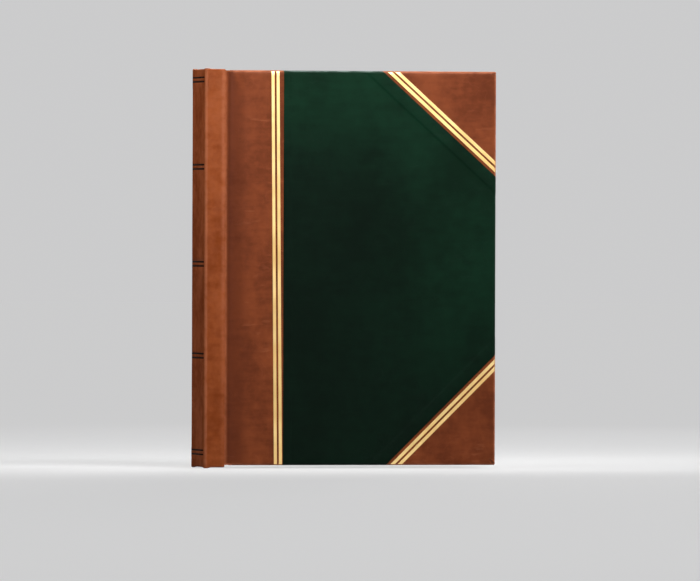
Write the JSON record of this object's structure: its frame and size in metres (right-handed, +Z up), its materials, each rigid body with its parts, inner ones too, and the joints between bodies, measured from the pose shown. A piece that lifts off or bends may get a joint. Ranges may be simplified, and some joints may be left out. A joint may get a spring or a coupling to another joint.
{
  "type": "stamp album",
  "caption": "Half-leather loose-leaf stamp album standing closed: hinged covers with gilt lines and leather corners, and card leaves with clear strips held by screw posts.",
  "frame": {"origin": "middle of the footprint on the surface that the album stands on", "axes": "+X from the spine to the fore-edge, -Y out of the front cover, +Z up from tail to head"},
  "size_m": [0.23, 0.045, 0.305],
  "materials": {
    "brown_leather": "smooth tan-brown leather, satin",
    "dark_foil": "dark pressed foil",
    "green_siding": "dark green leatherette, fine grain",
    "gilt": "gilt foil",
    "greyboard": "pressed grey board",
    "endpaper": "plain cream endpaper",
    "stub_card": "black stub card",
    "black_card": "black card with linen hinge",
    "clear_film": "clear film",
    "glassine": "translucent glassine",
    "post_metal": "turned brass"
  },
  "bodies": {
    "spine": {"spine_leather": "brown_leather", "spine_rules": "dark_foil", "spine_board": "greyboard", "front_hinge_board": "greyboard", "back_hinge_board": "greyboard", "front_clamp_strip": "greyboard", "back_clamp_strip": "greyboard", "leaf_stubs": "stub_card", "post_barrels": "post_metal", "post_screws": "post_metal", "front_joint_leather": "brown_leather", "back_joint_leather": "brown_leather"},
    "front_cover": {"front_board": "greyboard", "front_siding": "green_siding", "front_leather": "brown_leather", "front_corners": "brown_leather", "front_gilt_lines": "gilt", "front_endpaper": "endpaper"},
    "back_cover": {"back_board": "greyboard", "back_siding": "green_siding", "back_leather": "brown_leather", "back_corners": "brown_leather", "back_gilt_lines": "gilt", "back_endpaper": "endpaper"},
    "stock_leaf_01": {"leaf_01": "black_card", "film_strips_01": "clear_film", "interleaf_01": "glassine"},
    "stock_leaf_02": {"leaf_02": "black_card", "film_strips_02": "clear_film", "interleaf_02": "glassine"},
    "stock_leaf_03": {"leaf_03": "black_card", "film_strips_03": "clear_film", "interleaf_03": "glassine"},
    "stock_leaf_04": {"leaf_04": "black_card", "film_strips_04": "clear_film", "interleaf_04": "glassine"},
    "stock_leaf_05": {"leaf_05": "black_card", "film_strips_05": "clear_film", "interleaf_05": "glassine"},
    "stock_leaf_06": {"leaf_06": "black_card", "film_strips_06": "clear_film", "interleaf_06": "glassine"},
    "stock_leaf_07": {"leaf_07": "black_card", "film_strips_07": "clear_film", "interleaf_07": "glassine"},
    "stock_leaf_08": {"leaf_08": "black_card", "film_strips_08": "clear_film", "interleaf_08": "glassine"},
    "stock_leaf_09": {"leaf_09": "black_card", "film_strips_09": "clear_film", "interleaf_09": "glassine"},
    "stock_leaf_10": {"leaf_10": "black_card", "film_strips_10": "clear_film", "interleaf_10": "glassine"},
    "stock_leaf_11": {"leaf_11": "black_card", "film_strips_11": "clear_film", "interleaf_11": "glassine"},
    "stock_leaf_12": {"leaf_12": "black_card", "film_strips_12": "clear_film"}
  },
  "joints": [
    {"name": "front_cover_hinge", "type": "hinge", "parent": "spine", "child": "front_cover", "pos_m": [-0.096, -0.0215, 0], "axis": [0, 0, -1], "range_deg": [0, 180], "deforming": ["front_joint_leather"]},
    {"name": "back_cover_hinge", "type": "hinge", "parent": "spine", "child": "back_cover", "pos_m": [-0.096, 0.0215, 0], "axis": [0, 0, 1], "range_deg": [0, 180], "deforming": ["back_joint_leather"]},
    {"name": "leaf_01_turn", "type": "hinge", "parent": "spine", "child": "stock_leaf_01", "pos_m": [-0.09375, -0.01402, 0], "axis": [0, 0, -1], "range_deg": [0, 70]},
    {"name": "leaf_02_turn", "type": "hinge", "parent": "spine", "child": "stock_leaf_02", "pos_m": [-0.09375, -0.01148, 0], "axis": [0, 0, -1], "range_deg": [0, 58]},
    {"name": "leaf_03_turn", "type": "hinge", "parent": "spine", "child": "stock_leaf_03", "pos_m": [-0.09375, -0.00893, 0], "axis": [0, 0, -1], "range_deg": [0, 46]},
    {"name": "leaf_04_turn", "type": "hinge", "parent": "spine", "child": "stock_leaf_04", "pos_m": [-0.09375, -0.00637, 0], "axis": [0, 0, -1], "range_deg": [0, 34]},
    {"name": "leaf_05_turn", "type": "hinge", "parent": "spine", "child": "stock_leaf_05", "pos_m": [-0.09375, -0.00382, 0], "axis": [0, 0, -1], "range_deg": [0, 22]},
    {"name": "leaf_06_turn", "type": "hinge", "parent": "spine", "child": "stock_leaf_06", "pos_m": [-0.09375, -0.00128, 0], "axis": [0, 0, -1], "range_deg": [0, 10]},
    {"name": "leaf_07_turn", "type": "hinge", "parent": "spine", "child": "stock_leaf_07", "pos_m": [-0.09375, 0.00128, 0], "axis": [0, 0, 1], "range_deg": [0, 10]},
    {"name": "leaf_08_turn", "type": "hinge", "parent": "spine", "child": "stock_leaf_08", "pos_m": [-0.09375, 0.00382, 0], "axis": [0, 0, 1], "range_deg": [0, 22]},
    {"name": "leaf_09_turn", "type": "hinge", "parent": "spine", "child": "stock_leaf_09", "pos_m": [-0.09375, 0.00637, 0], "axis": [0, 0, 1], "range_deg": [0, 34]},
    {"name": "leaf_10_turn", "type": "hinge", "parent": "spine", "child": "stock_leaf_10", "pos_m": [-0.09375, 0.00893, 0], "axis": [0, 0, 1], "range_deg": [0, 46]},
    {"name": "leaf_11_turn", "type": "hinge", "parent": "spine", "child": "stock_leaf_11", "pos_m": [-0.09375, 0.01148, 0], "axis": [0, 0, 1], "range_deg": [0, 58]},
    {"name": "leaf_12_turn", "type": "hinge", "parent": "spine", "child": "stock_leaf_12", "pos_m": [-0.09375, 0.01402, 0], "axis": [0, 0, 1], "range_deg": [0, 70]}
  ],
  "couplings": [
    {"joint": "leaf_01_turn", "follows": "front_cover_hinge", "ratio": 0.388},
    {"joint": "leaf_02_turn", "follows": "front_cover_hinge", "ratio": 0.322},
    {"joint": "leaf_03_turn", "follows": "front_cover_hinge", "ratio": 0.255},
    {"joint": "leaf_04_turn", "follows": "front_cover_hinge", "ratio": 0.188},
    {"joint": "leaf_05_turn", "follows": "front_cover_hinge", "ratio": 0.122},
    {"joint": "leaf_06_turn", "follows": "front_cover_hinge", "ratio": 0.055},
    {"joint": "leaf_07_turn", "follows": "back_cover_hinge", "ratio": 0.055},
    {"joint": "leaf_08_turn", "follows": "back_cover_hinge", "ratio": 0.122},
    {"joint": "leaf_09_turn", "follows": "back_cover_hinge", "ratio": 0.188},
    {"joint": "leaf_10_turn", "follows": "back_cover_hinge", "ratio": 0.255},
    {"joint": "leaf_11_turn", "follows": "back_cover_hinge", "ratio": 0.322},
    {"joint": "leaf_12_turn", "follows": "back_cover_hinge", "ratio": 0.388}
  ]
}
